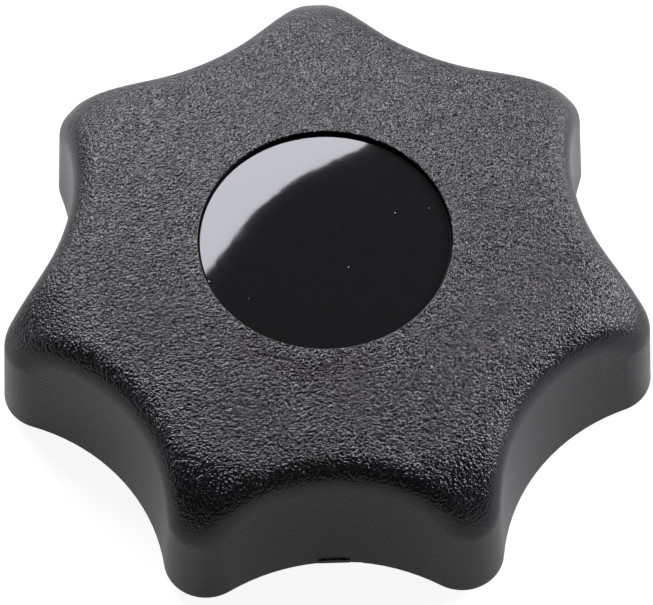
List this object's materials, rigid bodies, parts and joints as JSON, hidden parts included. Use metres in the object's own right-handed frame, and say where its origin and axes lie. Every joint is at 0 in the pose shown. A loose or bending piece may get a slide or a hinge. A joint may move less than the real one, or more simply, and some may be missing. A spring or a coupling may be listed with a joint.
{
  "type": "star knob",
  "caption": "Star-shaped clamping knob with round-ended lobes, a domed top with a glossy snap-in cap, a ribbed underside and a threaded metal insert in the hub.",
  "frame": {"origin": "centre of the threaded insert's clamping face, at the mouth of the thread", "axes": "+Z along the thread away from the clamping face, towards the capped top; +Y towards the end of one lobe"},
  "size_m": [0.0616, 0.0603, 0.0179],
  "materials": {
    "moulding": "black glass-filled polyamide, fine spark-eroded grain on top, smoother drafted sides",
    "insert_metal": "bright turned brass",
    "cap": "black polyamide, high gloss"
  },
  "bodies": {
    "root": {"knob_body": "moulding", "threaded_insert": "insert_metal", "centre_cap": "cap"}
  },
  "joints": []
}
